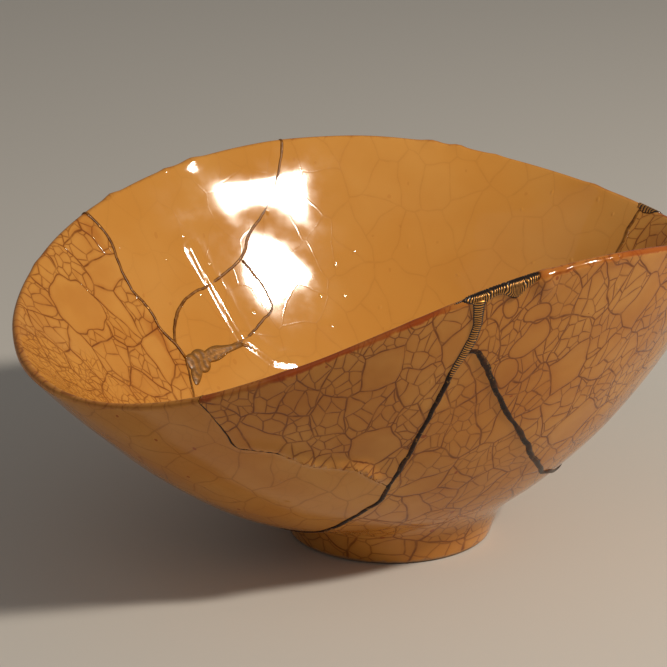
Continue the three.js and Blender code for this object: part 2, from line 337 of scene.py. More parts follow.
# ---------------------------------------------------------------- the thrown and pressed bowl
def throw_bowl():
    """Draws one section, spins it on the wheel, then presses the soft bowl into an oval."""
    deselect_all()
    section = meridian(np.array(0.0))
    bpy.ops.mesh.primitive_plane_add(size=1)
    bowl = bpy.context.object
    bowl.name = "thrown_bowl"
    bpy.ops.object.mode_set(mode='EDIT')
    bpy.ops.mesh.select_all(action='SELECT')
    bpy.ops.mesh.merge(type='CENTER')
    at = Vector((0, 0, 0))
    for r, z, _, _ in section:
        step = Vector((r, 0, z)) - at
        if step.length < 1e-9 and at.length > 0:
            continue
        if at.length == 0:
            bpy.ops.transform.translate(value=step)
        else:
            bpy.ops.mesh.extrude_region_move(TRANSFORM_OT_translate={"value": step})
        at += step
    bpy.ops.mesh.extrude_region_move(
        TRANSFORM_OT_translate={"value": Vector((0, 0, RECESS_TOP)) - at})
    bpy.ops.mesh.select_all(action='SELECT')
    bpy.ops.mesh.spin(steps=BEARINGS, angle=2 * math.pi, axis=(0, 0, 1), center=(0, 0, 0))
    bpy.ops.mesh.select_all(action='SELECT')
    bpy.ops.mesh.remove_doubles(threshold=0.002)
    bpy.ops.mesh.normals_make_consistent(inside=False)
    bpy.ops.object.mode_set(mode='OBJECT')
    press_oval(bowl, section)
    return bowl


def rows_of(radius, height, section):
    row = np.empty(len(radius), int)
    plan = np.vstack([section[:, :2], [0, RECESS_TOP]])
    for k in range(0, len(radius), 20000):
        d = (radius[k:k + 20000, None] - plan[None, :, 0]) ** 2
        d += (height[k:k + 20000, None] - plan[None, :, 1]) ** 2
        row[k:k + 20000] = d.argmin(1)
    return row


def press_oval(bowl, section):
    count = len(bowl.data.vertices)
    thrown = raw_points(bowl)
    radius, height = np.hypot(thrown[:, 0], thrown[:, 1]), thrown[:, 2]
    row = rows_of(radius, height, section)
    column = np.round(np.degrees(np.arctan2(thrown[:, 1], thrown[:, 0])) * BEARINGS / 360)
    column = column.astype(int) % BEARINGS
    angles = np.arange(BEARINGS) * 2 * math.pi / BEARINGS
    table = np.stack([meridian(np.array(a)) for a in angles])
    tail = np.broadcast_to([0, RECESS_TOP, 1.0, -0.48], (BEARINGS, 1, 4))
    table = np.concatenate([table, tail], 1)
    r, z, side, station = table[column, row].T
    bearing = angles[column]
    points = np.stack([r * np.cos(bearing), r * np.sin(bearing), z], 1)
    place_points(bowl, points)
    normals = np.empty(count * 3)
    bowl.data.vertices.foreach_get("normal", normals)
    lift = glaze_relief(points, side, bearing, station)
    points = points + normals.reshape(-1, 3) * lift[:, None]
    place_points(bowl, points)
    write_maps(bowl, bearing, r, z, side, station)


def write_maps(bowl, bearing, radius, height, side, station):
    """Two maps that stay with the clay: the wall unrolled flat, and side with station."""
    reach = ROOT_RADIUS + np.clip(station, 0, 1.05) * WALL_LENGTH
    below = (side > 0.5) & (station < 0)
    reach = np.where(below, np.minimum(FOOT_REACH + height, 0.63 * radius + height), reach)
    reach = np.where((side < 0.5) & (station < 0), radius, reach)
    unrolled = np.stack([reach * np.cos(bearing), reach * np.sin(bearing)], 1) * MAP_SCALE
    corner = np.empty(len(bowl.data.loops), int)
    bowl.data.loops.foreach_get("vertex_index", corner)
    while bowl.data.uv_layers:
        bowl.data.uv_layers.remove(bowl.data.uv_layers[0])
    for name, values in (("unrolled", unrolled), ("glaze", np.stack([side, station], 1))):
        layer = bowl.data.uv_layers.new(name=name)
        layer.data.foreach_set("uv", values[corner].astype(np.float32).ravel())


# ---------------------------------------------------------------- crack lines
def jagged(line, step=1.1, shake=0.16):
    """The crack line as a fine walk over the wall, with the small turns a break has."""
    b = np.radians([p[0] for p in line])
    s = np.array([p[1] for p in line])
    at = on_wall(b, s, 0.0)
    gone = np.concatenate([[0], np.cumsum(np.linalg.norm(np.diff(at, axis=0), axis=1))])
    count = max(int(gone[-1] / step), 4)
    along = np.linspace(0, gone[-1], count + 1)
    bearing, station = np.interp(along, gone, b), np.interp(along, gone, s)
    for _ in range(2):
        bearing[1:-1] = 0.25 * bearing[:-2] + 0.5 * bearing[1:-1] + 0.25 * bearing[2:]
        station[1:-1] = 0.25 * station[:-2] + 0.5 * station[1:-1] + 0.25 * station[2:]
    noise = rng.normal(0, 1, (2, count + 1))
    noise = 0.55 * noise + 0.45 * np.roll(noise, 1, 1) + 0.3 * np.roll(noise, 2, 1)
    fade = np.minimum(1, np.minimum(np.arange(count + 1), np.arange(count + 1)[::-1]) / 3)
    radius = middle(bearing, station)[0]
    bearing = bearing + shake * fade * noise[0] / radius
    station = station + shake * fade * noise[1] / WALL_LENGTH
    return bearing, station, along


LINES = {name: jagged(line) for name, line in CRACKS.items()}


def sideways(points, normals):
    along = np.gradient(points, axis=0)
    side = np.cross(along, normals)
    return side / np.linalg.norm(side, axis=1)[:, None]


def crack_sheet(name):
    """A thin sheet through the wall along a crack, to cut the bowl with."""
    bearing, station, _ = LINES[name]
    middle_points = on_wall(bearing, station, 0.0)
    normals = outward(bearing, station)
    first, last = middle_points[0] - middle_points[1], middle_points[-1] - middle_points[-2]
    ends = [0.35, 0.35]
    if station[0] > 0.99:
        ends[0] = 4.0
    if station[-1] > 0.99:
        ends[1] = 4.0
    head = middle_points[0] + first / np.linalg.norm(first) * ends[0]
    tail = middle_points[-1] + last / np.linalg.norm(last) * ends[1]
    walk = np.vstack([head, middle_points, tail])
    normals = np.vstack([normals[0], normals, normals[-1]])
    deselect_all()
    bpy.ops.mesh.primitive_grid_add(x_subdivisions=len(walk) - 1, y_subdivisions=1, size=1)
    sheet = bpy.context.object
    sheet.name = "cut_" + name
    grid = raw_points(sheet)
    index = np.round((grid[:, 0] + 0.5) * (len(walk) - 1)).astype(int)
    depth = np.where(grid[:, 1] > 0, 5.5, -5.5)
    place_points(sheet, walk[index] + normals[index] * depth[:, None])
    apply_modifier(sheet, 'SOLIDIFY', thickness=0.00022, offset=0)
    return sheet


FRONT_CHIP = [(-113.6, 1.026), (-112.3, 1.015), (-111.1, 1.006), (-109.5, 0.99), (-107.6, 0.986),
              (-107.0, 0.996), (-106.1, 0.999), (-104.9, 0.993), (-104.0, 0.979),
              (-102.9, 0.967), (-102.2, 0.965), (-101.5, 0.975), (-100.7, 0.991),
              (-99.7, 0.998), (-98.9, 1.005), (-98.1, 1.022)]
BACK_CHIP = [(4.6, 1.022), (5.6, 1.005), (6.6, 0.99), (8.0, 0.982), (9.0, 0.985),
             (10.0, 1.0), (10.8, 1.022)]


def chip_cutter(name, chip, raise_by):
    """A block over a chip in the lip, to cut its seat out of the shards."""
    deselect_all()
    last = len(chip) - 1
    bpy.ops.mesh.primitive_cube_add(size=1)
    block = bpy.context.object
    block.name = "cut_" + name
    bpy.ops.object.mode_set(mode='EDIT')
    bpy.ops.mesh.select_all(action='SELECT')
    for k in range(1, last):
        bpy.ops.mesh.bisect(plane_co=(k / last - 0.5, 0, 0), plane_no=(1, 0, 0))
        bpy.ops.mesh.select_all(action='SELECT')
    bpy.ops.object.mode_set(mode='OBJECT')
    cube = raw_points(block)
    index = np.round((cube[:, 0] + 0.5) * last).astype(int)
    bearing = np.radians(np.array([p[0] for p in chip]))[index]
    low = np.array([p[1] for p in chip])[index] + raise_by
    station = np.where(cube[:, 2] < 0, low, 1.12)
    depth = np.where(cube[:, 1] > 0, 4.5, -4.5)
    place_points(block, on_wall(bearing, station, depth))
    face_outwards(block)
    return block


def break_bowl(bowl):
    """Cuts the bowl along every crack and returns the six shards by name."""
    tools = bpy.data.collections.new("crack_tools")
    for cutter in [crack_sheet(name) for name in CRACKS] + [
            chip_cutter("front_chip", FRONT_CHIP, 0.005), chip_cutter("back_chip", BACK_CHIP, 0.005)]:
        tools.objects.link(cutter)
    apply_modifier(bowl, 'BOOLEAN', operation='DIFFERENCE', operand_type='COLLECTION',
                   collection=tools, solver='EXACT')
    for cutter in list(tools.objects):
        bpy.data.objects.remove(cutter, do_unlink=True)
    bpy.data.collections.remove(tools)
    take(bowl)
    bpy.ops.mesh.separate(type='LOOSE')
    pieces = list(bpy.context.selected_objects)
    shards = {}
    for name, (degrees, station) in SHARDS.items():
        probe = on_wall(np.radians(degrees), station, half_wall(station))
        reach = [np.linalg.norm(points_of(piece) - probe, axis=1).min() for piece in pieces]
        shards[name] = pieces[int(np.argmin(reach))]
        shards[name].name = name
    for piece in pieces:
        if piece not in shards.values():
            bpy.data.objects.remove(piece, do_unlink=True)
    return shards


# ---------------------------------------------------------------- seams of lacquer and gold
def round_path(name):
    """The seam's paths, with their normals and how far inside each point is, from 0 to 1.
    A seam that meets the rim goes up the outside, over the lip and down the inside."""
    bearing, station, _ = LINES[name]
    if name in RIM_SEAMS and station[0] > 0.99:
        bearing, station = bearing[::-1], station[::-1]
    half = half_wall(station)
    if name not in RIM_SEAMS:
        return [(on_wall(bearing, station, side * half), side * outward(bearing, station),
                 np.full(len(bearing), 0.5 - 0.5 * side)) for side in (1, -1)]
    b = bearing[-1]
    turn = np.radians(np.linspace(75, -75, 9))
    r, z, tr, tz = middle(b, 1.0)
    radial = np.array([math.cos(b), math.sin(b), 0])
    normal = np.array([(tz * math.sin(a) + tr * math.cos(a)) * radial
                       + np.array([0, 0, -tr * math.sin(a) + tz * math.cos(a)]) for a in turn])
    lip = np.array([r * radial + np.array([0, 0, z])] * len(turn)) + normal * half_wall(1.0)
    outer = on_wall(bearing, station, half)
    inner = on_wall(bearing, station, -half)[::-1]
    way_out, way_in = outward(bearing, station), -outward(bearing, station)[::-1]
    inside = np.concatenate([np.zeros(len(outer)), np.linspace(0.1, 0.9, len(lip)),
                             np.ones(len(inner))])
    return [(np.vstack([outer, lip, inner]), np.vstack([way_out, normal, way_in]), inside)]


def store_map(piece, name, first, second):
    """Stores two values of each point as a map that the piece's material reads."""
    corner = np.empty(len(piece.data.loops), int)
    piece.data.loops.foreach_get("vertex_index", corner)
    for layer in list(piece.data.uv_layers):
        piece.data.uv_layers.remove(layer)
    pair = np.stack(np.broadcast_arrays(first, second), 1)[corner]
    piece.data.uv_layers.new(name=name).data.foreach_set("uv", pair.astype(np.float32).ravel())


def bead(name, points, normals, width, height, sink=0.25, sides=12, crest=None, inner=0.0):
    """A raised bead along a path: a grid rolled into a closed tube and capped."""
    count = len(points)
    deselect_all()
    bpy.ops.mesh.primitive_grid_add(x_subdivisions=count - 1, y_subdivisions=sides, size=1)
    piece = bpy.context.object
    piece.name = name
    grid = raw_points(piece)
    i = np.round((grid[:, 0] + 0.5) * (count - 1)).astype(int)
    j = np.round((grid[:, 1] + 0.5) * sides).astype(int) % sides
    angle = j * 2 * math.pi / sides
    aside = sideways(points, normals)
    width, height = np.broadcast_to(width, count), np.broadcast_to(height, count)
    across = 0.5 * width[i] * np.cos(angle)
    proud = height[i] if crest is None else height[i] * (1 + 0.28 * (crest(i, angle) - 0.5))
    up = np.where(np.sin(angle) > 0, proud * np.sin(angle), sink * np.sin(angle))
    place_points(piece, points[i] + aside[i] * across[:, None] + normals[i] * up[:, None])
    shine = np.zeros(len(i)) if crest is None else crest(i, angle)
    store_map(piece, "finish", shine, np.broadcast_to(inner, count)[i])
    face_outwards(piece, merge_within=0.000001)
    bpy.ops.object.shade_smooth()
    return piece


def lay_seams():
    """Every seam as a bead: dark and proud outside, thinner, lower and browner inside."""
    strands = []
    for name in SEAM_WIDTH:
        wide, thin = SEAM_WIDTH[name]
        for points, normals, inner in round_path(name):
            count = len(points)
            waver = np.convolve(rng.normal(0, 1, count), np.ones(3) / 3, mode='same')
            width = np.linspace(wide, thin, count) * (1 + 0.16 * waver) * (1 - 0.2 * inner)
            height = (0.24 * width + 0.05) * (1 - 0.35 * inner)
            strands.append(bead("seam_" + name, points, normals, width, height, inner=inner))
    bearing, station, _ = jagged(INNER_HAIRLINE, step=0.8, shake=0.1)
    points = on_wall(bearing, station, -half_wall(station))
    width = np.linspace(*INNER_HAIRLINE_WIDTH, len(points))
    strands.append(bead("seam_hairline", points, -outward(bearing, station), width, 0.2 * width,
                        inner=1.0))
    deselect_all()
    for strand in strands:
        strand.select_set(True)
    bpy.context.view_layer.objects.active = strands[0]
    bpy.ops.object.join()
    seams = bpy.context.object
    seams.name = "seam_lines"
    return seams


TRUNK = [(-109.3, 1.006), (-109.2, 0.985), (-108.95, 0.932), (-109.5, 0.888), (-110.8, 0.846),
         (-112.0, 0.812), (-113.0, 0.775)]
TRUNK_WIDTH = [2.9, 2.35, 2.0, 2.3, 1.75, 1.3, 1.0]


def gold_trunk():
    """The thick ribbed stem of gold from the rim chip, past the fork, into the left branch."""
    bearing, station, along = jagged(TRUNK, step=0.075, shake=0.0)
    points = on_wall(bearing, station, half_wall(station))
    t = along / along[-1]
    width = np.interp(t, [0, 0.09, 0.32, 0.55, 0.74, 0.88, 1.0], TRUNK_WIDTH)
    pitch = 0.5 + 0.06 * np.sin(along * 0.9)
    turns = 2 * math.pi * np.cumsum(np.gradient(along) / pitch)

    def crest(i, angle):
        side = np.cos(angle)
        bow = 0.9 * side * side + 0.5 * side * np.sin(along[i] * 1.3)
        rib = 0.5 + 0.5 * np.sin(turns[i] + bow + 0.5 * np.sin(3.1 * along[i]))
        edge = np.clip((0.86 - np.abs(side)) / 0.3, 0, 1)
        return rib * edge * np.interp(t[i], [0, 0.93, 1.0], [1, 1, 0])

    width = width * (1 + 0.03 * np.sin(turns))
    height = np.interp(t, [0, 0.7, 1.0], [0.5, 0.5, 0.3])
    return bead("gold_trunk", points, outward(bearing, station), width, height, sink=0.4,
                sides=28, crest=crest)


def chip_fill(name, chip, wrinkles, drop=(0.0, 1.0, 0.0), dark_top=True):
    """Gold built up over a chip: a lens that wraps the lip, with wrinkles across it.
    drop: bearing, breadth in degrees and height in mm of a thick drop at the lower edge."""
    b = np.radians([p[0] for p in chip])
    columns, rows = 240, 64
    bearing = np.linspace(b[0], b[-1], columns + 1)
    edge = np.interp(bearing, b, [p[1] for p in chip])
    edge[1:-1] = 0.25 * edge[:-2] + 0.5 * edge[1:-1] + 0.25 * edge[2:]
    deselect_all()
    bpy.ops.mesh.primitive_grid_add(x_subdivisions=columns, y_subdivisions=rows, size=1)
    fill = bpy.context.object
    fill.name = name
    grid = raw_points(fill)
    i = np.round((grid[:, 0] + 0.5) * columns).astype(int)
    v = grid[:, 1] + 0.5
    half = half_wall(1.0)
    skirt = np.maximum(1.0 - edge, 0)[i] * WALL_LENGTH
    rise = np.clip((edge[i] - 1.0) * WALL_LENGTH / half, 0, 0.95)
    over = np.arccos(rise)
    total = 2 * skirt + 2 * half * over
    at = v * total
    on_out, on_in = at < skirt, at > total - skirt
    angle = np.where(on_out, over, np.where(on_in, -over, over - (at - skirt) / half))
    down = np.where(on_out, skirt - at, np.where(on_in, at - total + skirt, 0.0))
    degrees = np.degrees(bearing[i])
    from_edge, to_top = at, total / 2 - at
    if not dark_top:
        from_edge, to_top = np.minimum(at, total - at), np.full(len(at), 1.0)
    ends = np.clip(np.minimum(i, columns - i) / 10, 0, 1) ** 0.5
    body = np.clip(np.minimum(at, total - at) / 0.45, 0, 1) ** 0.5 * ends
    wrinkle = wrinkles(degrees, at)
    swell = drop[2] * np.exp(-((degrees - drop[0]) / drop[1]) ** 2 - ((at - 0.9) / 0.8) ** 2)
    border = 0.22 + 0.35 * np.exp(-((degrees - drop[0]) / (0.9 * drop[1])) ** 2) * (drop[2] > 0)
    crest = wrinkle * np.clip((from_edge - border) / 0.22, 0, 1) * np.clip(to_top / 0.35, 0, 1)
    crest = crest * np.clip((ends - 0.55) / 0.4, 0, 1)
    lift = (0.26 + swell + 0.16 * (wrinkle - 0.5)) * body - 0.15 * (1 - body)
    r, z, tr, tz = middle(bearing[i], 1.0)
    nr, nz = tz * np.sin(angle) + tr * np.cos(angle), -tr * np.sin(angle) + tz * np.cos(angle)
    rr, zz = r + nr * (half + lift) - tr * down, z + nz * (half + lift) - tz * down
    place_points(fill, np.stack([rr * np.cos(bearing[i]), rr * np.sin(bearing[i]), zz], 1))
    store_map(fill, "finish", crest, 0.0)
    apply_modifier(fill, 'SOLIDIFY', thickness=0.0006, offset=-1)
    take(fill)
    bpy.ops.object.shade_smooth()
    return fill


def front_wrinkles(degrees, at):
    fan = 0.55 * at * np.sin((degrees + 102.4) * 0.9)
    wave = degrees * 1.22 / 0.46 + fan + 0.35 * np.sin(degrees * 1.9) + 0.2 * np.sin(at * 3.3)
    return 0.5 + 0.5 * np.sin(2 * math.pi * wave)


def back_wrinkles(degrees, at):
    wave = degrees * 1.2 / 0.8 + 0.2 * np.sin(at * 1.7)
    return 0.6 + 0.4 * np.sin(2 * math.pi * wave)


# Outline of the gold patch inside, where three cracks meet: bearing and station.
PATCH_CENTRE = (120.6, 0.463)
PATCH = [(104.4, 0.456), (110.6, 0.464), (117.6, 0.481), (121.8, 0.5), (124.6, 0.502),
         (125.6, 0.463), (128.4, 0.42), (127.2, 0.416), (122.9, 0.436), (118.2, 0.445),
         (110.8, 0.441), (105.1, 0.438)]


def gold_patch():
    """A three-armed lens of brown gold on the inside of the wall: a ball flattened to its outline."""
    deselect_all()
    bpy.ops.mesh.primitive_uv_sphere_add(segments=96, ring_count=24, radius=1)
    patch = bpy.context.object
    patch.name = "inner_gold_patch"
    ball = raw_points(patch)
    scale = np.array([math.radians(1) * middle(math.radians(120), 0.46)[0], WALL_LENGTH])
    arms = (np.array(PATCH) - PATCH_CENTRE) * scale
    turn = np.arctan2(arms[:, 1], arms[:, 0])
    order = np.argsort(turn)
    reach = np.interp(np.arctan2(ball[:, 1], ball[:, 0]), turn[order],
                      np.hypot(*arms.T)[order], period=2 * math.pi)
    flat_at = ball[:, :2] * reach[:, None]
    ripple = 0.5 + 0.5 * np.sin(3.4 * flat_at[:, 0] + 2.0 * np.sin(1.3 * flat_at[:, 1]))
    bearing = np.radians(PATCH_CENTRE[0] + flat_at[:, 0] / scale[0])
    station = PATCH_CENTRE[1] + flat_at[:, 1] / scale[1]
    round_edge = np.clip(1 - np.hypot(ball[:, 0], ball[:, 1]), 0, 1)
    proud = np.where(ball[:, 2] > 0, (0.34 + 0.06 * ripple) * np.clip(round_edge * 4, 0, 1) ** 0.5, 0)
    depth = half_wall(station) + np.where(ball[:, 2] > 0, proud, 0.5 * ball[:, 2])
    place_points(patch, on_wall(bearing, station, -depth))
    store_map(patch, "finish", 0.35 + 0.45 * ripple * np.clip(round_edge * 5, 0, 1), 1.0)
    take(patch)
    bpy.ops.object.shade_smooth()
    return patch


# ---------------------------------------------------------------- materials
class Nodes:
    """Small helper that adds nodes to one material and links them."""

    def __init__(self, name):
        self.material = bpy.data.materials.new(name)
        self.material.use_nodes = True
        self.tree = self.material.node_tree
        self.tree.nodes.clear()

    def add(self, kind, **settings):
        node = self.tree.nodes.new(kind)
        for key, value in settings.items():
            setattr(node, key, value)
        return node

    def feed(self, socket, value):
        if isinstance(value, bpy.types.NodeSocket):
            self.tree.links.new(value, socket)
        else:
            socket.default_value = value

    def math(self, operation, a, b=0.0, c=None):
        node = self.add("ShaderNodeMath", operation=operation)
        self.feed(node.inputs[0], a)
        self.feed(node.inputs[1], b)
        if c is not None:
            self.feed(node.inputs[2], c)
        return node.outputs[0]

    def vector(self, operation, a, b):
        node = self.add("ShaderNodeVectorMath", operation=operation)
        self.feed(node.inputs[0], a)
        if operation == 'SCALE':
            self.feed(node.inputs["Scale"], b)
        else:
            self.feed(node.inputs[1], b)
        return node.outputs[1] if operation in ('DISTANCE', 'LENGTH') else node.outputs[0]

    def noise(self, at, scale, detail=2.0, rough=0.5):
        node = self.add("ShaderNodeTexNoise")
        self.feed(node.inputs["Vector"], at)
        node.inputs["Scale"].default_value = scale
        node.inputs["Detail"].default_value = detail
        node.inputs["Roughness"].default_value = rough
        return node

    def ramp(self, value, low, high, first=0.0, last=1.0):
        node = self.add("ShaderNodeMapRange", interpolation_type='SMOOTHSTEP')
        self.feed(node.inputs["Value"], value)
        for key, number in (("From Min", low), ("From Max", high), ("To Min", first), ("To Max", last)):
            self.feed(node.inputs[key], number)
        return node.outputs[0]

    def mix(self, share, a, b):
        node = self.add("ShaderNodeMix", data_type='RGBA')
        self.feed(node.inputs[0], share)
        self.feed(node.inputs[6], a)
        self.feed(node.inputs[7], b)
        return node.outputs[2]

    def blend(self, share, a, b):
        node = self.add("ShaderNodeMix", data_type='FLOAT')
        self.feed(node.inputs[0], share)
        self.feed(node.inputs[2], a)
        self.feed(node.inputs[3], b)
        return node.outputs[0]

    def finish(self, colour, roughness, bump_height, bump_size, metallic=0.0,
               specular=0.5):
        shader = self.add("ShaderNodeBsdfPrincipled")
        self.feed(shader.inputs["Base Color"], colour)
        self.feed(shader.inputs["Roughness"], roughness)
        self.feed(shader.inputs["Metallic"], metallic)
        shader.inputs["Specular IOR Level"].default_value = specular
        relief = self.add("ShaderNodeBump")
        relief.inputs["Strength"].default_value = 1.0
        relief.inputs["Distance"].default_value = bump_size
        self.feed(relief.inputs["Height"], bump_height)
        self.feed(shader.inputs["Normal"], relief.outputs[0])
        output = self.add("ShaderNodeOutputMaterial")
        self.tree.links.new(shader.outputs[0], output.inputs["Surface"])
        return self.material


CREAM_INSIDE = (0.62, 0.275, 0.050, 1)
CREAM_OUTSIDE = (0.56, 0.225, 0.038, 1)
PALE_GLAZE = (0.70, 0.36, 0.095, 1)
CRACKLE_BROWN = (0.145, 0.034, 0.005, 1)
CRACKLE_STAIN = (0.40, 0.115, 0.013, 1)
IRON_RED = (0.33, 0.062, 0.009, 1)
BARE_CLAY = (0.30, 0.15, 0.07, 1)
WIDE_CELL, SMALL_CELL, FINE_CELL = 8.2, 3.3, 1.9
LINE_DRIFT = 4.2
SIDES_APART = 311.0
OUT_OF_REACH = 9.0
GLAZE_RELIEF = 0.00012


def cells(n, at, size):
    """Distance in mm to the border of the nearest cell, and a random colour of the cell's own."""
    where = n.vector('SCALE', at, 1.0 / size)
    found = []
    for feature, output in (('DISTANCE_TO_EDGE', "Distance"), ('F1', "Color")):
        node = n.add("ShaderNodeTexVoronoi", voronoi_dimensions='2D', feature=feature)
        n.feed(node.inputs["Vector"], where)
        node.inputs["Scale"].default_value = 1.0
        node.inputs["Randomness"].default_value = 1.0
        found.append(node.outputs[output])
    return n.math('MULTIPLY', found[0], size), found[1]


def spot(n, at, side, place):
    """0 at the middle of a round or oval place on the wall, 1 at its border.
    place: bearing, station, side (0 in, 1 out), length and breadth in mm, turn in degrees."""
    degrees, station, which, length, breadth, turn = place
    reach = ROOT_RADIUS + station * WALL_LENGTH
    node = n.add("ShaderNodeMapping", vector_type='TEXTURE')
    n.feed(node.inputs["Vector"], at)
    node.inputs["Location"].default_value = (reach * math.cos(math.radians(degrees)),
                                             reach * math.sin(math.radians(degrees)), 0)
    node.inputs["Rotation"].default_value = (0, 0, math.radians(turn))
    node.inputs["Scale"].default_value = (length, breadth, 1)
    away = n.vector('LENGTH', node.outputs[0], (0, 0, 0))
    other = n.math('ABSOLUTE', n.math('SUBTRACT', side, which))
    return n.math('ADD', away, n.math('MULTIPLY', other, OUT_OF_REACH))


def glaze(name, inside, outside, rim=0.3, whole=(), fine=(), stained=(), shift=0.0):
    """Cream crackle glaze. inside and outside: strength of wide lines, small lines and stain.
    rim: how red the lip is. whole, fine and stained: places with one smooth cell, with very
    fine crackle, and with a brown tint."""
    n = Nodes(name)
    masks = n.add("ShaderNodeSeparateXYZ")
    n.tree.links.new(n.add("ShaderNodeUVMap", uv_map="glaze").outputs[0], masks.inputs[0])
    side, station = masks.outputs[0], masks.outputs[1]
    object_at = n.add("ShaderNodeTexCoord").outputs["Object"]
    on_mm = n.vector('SCALE', n.add("ShaderNodeUVMap", uv_map="unrolled").outputs[0], 1 / MAP_SCALE)
    drift = n.noise(on_mm, 0.12, 1.0).outputs["Color"]
    warp = n.vector('SCALE', n.vector('SUBTRACT', drift, (0.5, 0.5, 0.5)), LINE_DRIFT)
    warped = n.vector('ADD', on_mm, warp)
    apart = n.add("ShaderNodeCombineXYZ")
    flip = n.math('MULTIPLY', n.math('GREATER_THAN', side, 0.5), SIDES_APART)
    n.feed(apart.inputs[0], n.math('ADD', flip, shift))
    at = n.vector('ADD', warped, apart.outputs[0])

    def by_side(values):
        return n.blend(side, values[0], values[1])

    # Wide cells, each broken again into small ones that stop at the wide lines.
    to_wide, own = cells(n, at, WIDE_CELL)
    parts = n.add("ShaderNodeSeparateXYZ")
    n.tree.links.new(own, parts.inputs[0])
    small_size = n.math('MULTIPLY_ADD', parts.outputs[0], 0.6 * SMALL_CELL, 0.7 * SMALL_CELL)
    in_small = n.vector('SCALE', at, n.math('DIVIDE', 1.0, small_size))
    in_small = n.vector('ADD', in_small, n.vector('SCALE', own, 40.0))
    to_small, _ = cells(n, in_small, 1.0)
    to_small = n.math('MULTIPLY', to_small, small_size)
    broken = n.ramp(parts.outputs[1], 0.10, 0.14)
    uneven = n.ramp(n.noise(at, 0.35, 2.0).outputs["Fac"], 0.28, 0.6, 0.5, 1.0)
    wide_amount = n.math('MULTIPLY', by_side((inside[0], outside[0])), uneven)
    small_amount = n.math('MULTIPLY', by_side((inside[1], outside[1])), uneven)
    small_amount = n.math('MULTIPLY', small_amount, broken)

    edges = []
    for place in whole:
        away = spot(n, warped, side, place)
        clear = n.ramp(away, 0.93, 1.0)
        wide_amount = n.math('MULTIPLY', wide_amount, clear)
        small_amount = n.math('MULTIPLY', small_amount, clear)
        edge = n.math('MULTIPLY', n.math('ABSOLUTE', n.math('SUBTRACT', away, 1.0)), place[4])
        edges.append(edge)

    core = n.math('MAXIMUM', n.math('MULTIPLY', n.ramp(to_wide, 0.05, 0.27, 1.0, 0.0), wide_amount),
                  n.math('MULTIPLY', n.ramp(to_small, 0.03, 0.21, 0.85, 0.0), small_amount))
    halo = n.math('MAXIMUM', n.math('MULTIPLY', n.ramp(to_wide, 0.0, 1.0, 1.0, 0.0), wide_amount),
                  n.math('MULTIPLY', n.ramp(to_small, 0.0, 0.75, 0.8, 0.0), small_amount))
    for edge in edges:
        core = n.math('MAXIMUM', core, n.ramp(edge, 0.04, 0.24, 0.85, 0.0))
        halo = n.math('MAXIMUM', halo, n.ramp(edge, 0.0, 0.9, 0.8, 0.0))
    for place in fine:
        to_fine, _ = cells(n, n.vector('ADD', at, (71.0, 13.0, 0.0)), FINE_CELL)
        here = n.math('MULTIPLY', n.ramp(spot(n, warped, side, place), 0.6, 1.0, 0.75, 0.0), uneven)
        core = n.math('MAXIMUM', core, n.math('MULTIPLY', n.ramp(to_fine, 0.02, 0.18, 1, 0), here))
        halo = n.math('MAXIMUM', halo, n.math('MULTIPLY', n.ramp(to_fine, 0.0, 0.5, 1, 0), here))

    ground = n.mix(side, CREAM_INSIDE, CREAM_OUTSIDE)
    cloud = n.ramp(n.noise(object_at, 48.0, 2.0).outputs["Fac"], 0.35, 0.7, 0.0, 0.4)
    ground = n.mix(cloud, ground, PALE_GLAZE)
    blotch = n.ramp(n.noise(object_at, 75.0, 3.0, 0.55).outputs["Fac"], 0.40, 0.68)
    blotch = n.math('MULTIPLY', blotch, by_side((inside[2], outside[2])))
    for place in stained:
        tint = n.ramp(spot(n, warped, side, place), 0.2, 1.0, 1.1, 0.0)
        blotch = n.math('MAXIMUM', blotch, tint)
    ground = n.mix(n.math('MULTIPLY', blotch, 0.5), ground, CRACKLE_STAIN)
    ground = n.mix(n.math('MULTIPLY', halo, 0.45), ground, CRACKLE_STAIN)
    ground = n.mix(n.math('MULTIPLY', core, 0.85), ground, CRACKLE_BROWN)

    # Specks of iron, and the red line where the glaze runs thin over the lip.
    to_speck = n.add("ShaderNodeTexVoronoi", voronoi_dimensions='2D', feature='F1')
    n.feed(to_speck.inputs["Vector"], n.vector('SCALE', at, 1 / 7.0))
    to_speck.inputs["Scale"].default_value = 1.0
    chance = n.add("ShaderNodeSeparateXYZ")
    n.tree.links.new(to_speck.outputs["Color"], chance.inputs[0])
    size = n.ramp(chance.outputs[0], 0.72, 1.0, 0.0, 0.07)
    speck = n.math('LESS_THAN', to_speck.outputs["Distance"], size)
    ground = n.mix(n.math('MULTIPLY', speck, by_side((0.15, 0.8))), ground, IRON_RED)
    ragged = n.noise(object_at, 420.0, 3.0, 0.6).outputs["Fac"]
    to_lip = n.math('ADD', station, n.math('MULTIPLY', n.math('SUBTRACT', ragged, 0.5), 0.022))
    run = n.ramp(n.noise(object_at, 60.0, 2.0).outputs["Fac"], 0.32, 0.58, 0.35, 1.0)
    red = n.math('MULTIPLY', n.ramp(to_lip, 1.002, 1.0095), n.math('MULTIPLY', run, rim))
    ground = n.mix(red, ground, IRON_RED)

    bare = n.ramp(n.math('ADD', station, n.math('MULTIPLY', ragged, 0.04)), -0.085, -0.105)
    grain = n.noise(object_at, 900.0, 4.0, 0.7).outputs["Fac"]
    ground = n.mix(bare, ground, n.mix(grain, BARE_CLAY, (0.42, 0.24, 0.12, 1)))
    gloss = n.ramp(n.noise(object_at, 260.0, 3.0).outputs["Fac"], 0.3, 0.7, 0.06, 0.10)
    roughness = n.blend(bare, gloss, 0.8)

